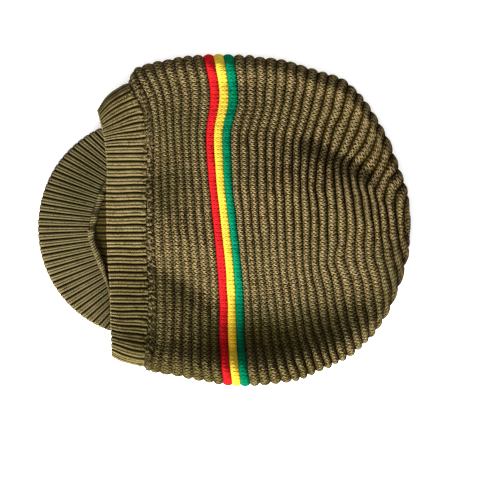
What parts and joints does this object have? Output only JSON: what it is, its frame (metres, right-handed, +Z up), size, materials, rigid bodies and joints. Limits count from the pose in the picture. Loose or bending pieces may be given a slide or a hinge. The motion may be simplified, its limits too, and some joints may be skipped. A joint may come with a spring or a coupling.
{
  "type": "slouchy knitted tam with a knitted peak",
  "caption": "Flat-laid slouchy knit tam with ribbed band, welted crown, red, gold and green stripes, closed far end and a stiff ribbed peak.",
  "frame": {"origin": "middle of the footprint on the surface that the hat lies on", "axes": "+X from the peak to the far end of the crown, +Y across the hat, +Z up from the surface"},
  "size_m": [0.3162, 0.282, 0.0242],
  "materials": {
    "olive_knit": "matte welted cotton knit",
    "olive_rib": "matte ribbed cotton knit",
    "olive_peak": "matte ribbed cotton knit, stiffened",
    "red_knit": "matte cotton knit",
    "gold_knit": "matte cotton knit",
    "green_knit": "matte cotton knit"
  },
  "bodies": {
    "root": {"band": "olive_rib", "peak": "olive_peak", "crown_lower": "olive_knit", "stripe_red": "red_knit", "stripe_gold": "gold_knit", "stripe_green": "green_knit", "crown_upper": "olive_knit"}
  },
  "joints": []
}
